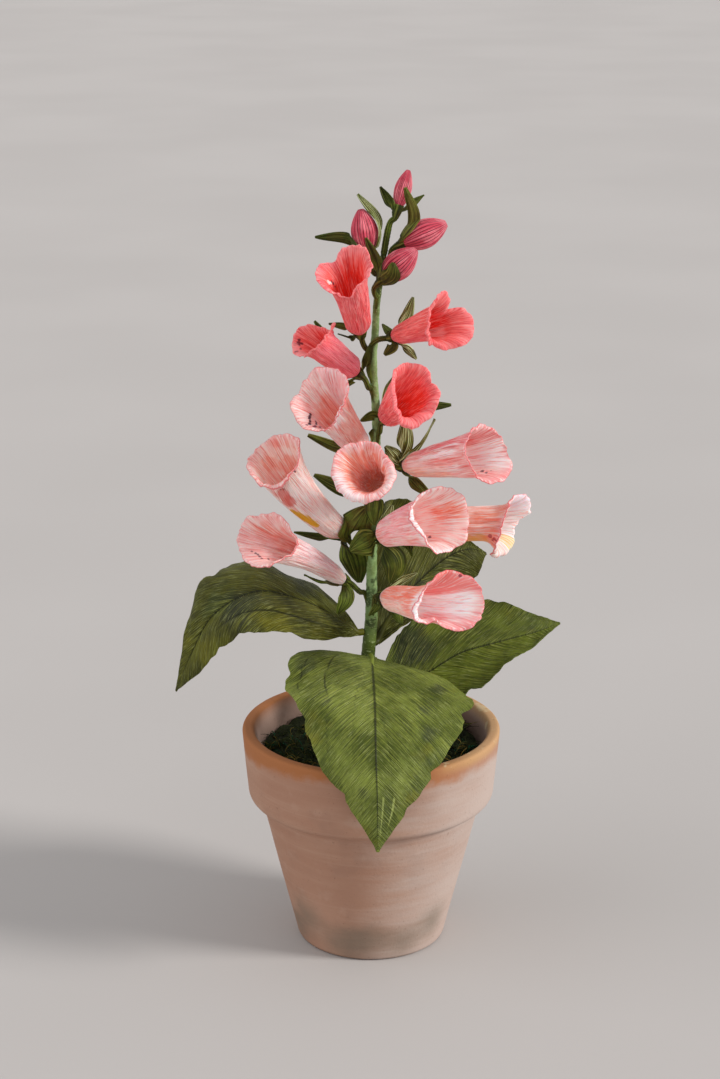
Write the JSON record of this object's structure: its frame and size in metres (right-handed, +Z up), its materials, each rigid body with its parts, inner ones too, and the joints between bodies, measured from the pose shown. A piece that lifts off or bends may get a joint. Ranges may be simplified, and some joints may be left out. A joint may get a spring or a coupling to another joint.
{
  "type": "potted foxglove",
  "caption": "Foxglove of crepe paper in a terracotta pot: rolled tubular blooms and closed buds up one stem, sepals and large cut leaves below, moss on the filled pot.",
  "frame": {"origin": "middle of the pot's base, on the surface that the pot stands on, at the mount base", "axes": "+Z up along the pot's axis; -Y towards the side seen in the picture, +X to its right"},
  "size_m": [0.1596, 0.1221, 0.3256],
  "materials": {
    "terracotta": "matte, unglazed, weathered",
    "plaster": "matte",
    "moss": "matte fibrous",
    "stem_tape": "matte wrapped",
    "sepal_paper": "matte crepe",
    "leaf_paper": "matte crepe",
    "coral_paper": "matte crepe",
    "pale_pink_paper": "matte crepe",
    "bud_paper": "matte crepe"
  },
  "bodies": {
    "root": {"pot": "terracotta", "fill": "plaster", "moss": "moss", "stem": "stem_tape", "bloom_01": "coral_paper", "bloom_02": "coral_paper", "bloom_03": "coral_paper", "bloom_04": "coral_paper", "bloom_05": "pale_pink_paper", "bloom_06": "pale_pink_paper", "bloom_07": "pale_pink_paper", "bloom_08": "pale_pink_paper", "bloom_09": "pale_pink_paper", "bloom_10": "pale_pink_paper", "bloom_11": "pale_pink_paper", "bloom_12": "pale_pink_paper", "bud_1": "bud_paper", "bud_2": "bud_paper", "bud_3": "bud_paper", "bud_4": "bud_paper", "calyx_01": "sepal_paper", "calyx_02": "sepal_paper", "calyx_03": "sepal_paper", "calyx_04": "sepal_paper", "calyx_05": "sepal_paper", "calyx_06": "sepal_paper", "calyx_07": "sepal_paper", "calyx_08": "sepal_paper", "calyx_09": "sepal_paper", "calyx_10": "sepal_paper", "calyx_11": "sepal_paper", "calyx_12": "sepal_paper", "calyx_bud_1": "sepal_paper", "calyx_bud_2": "sepal_paper", "calyx_bud_3": "sepal_paper", "calyx_bud_4": "sepal_paper", "leaf_left": "leaf_paper", "leaf_front": "leaf_paper", "leaf_right": "leaf_paper", "leaf_upper": "leaf_paper"}
  },
  "joints": []
}
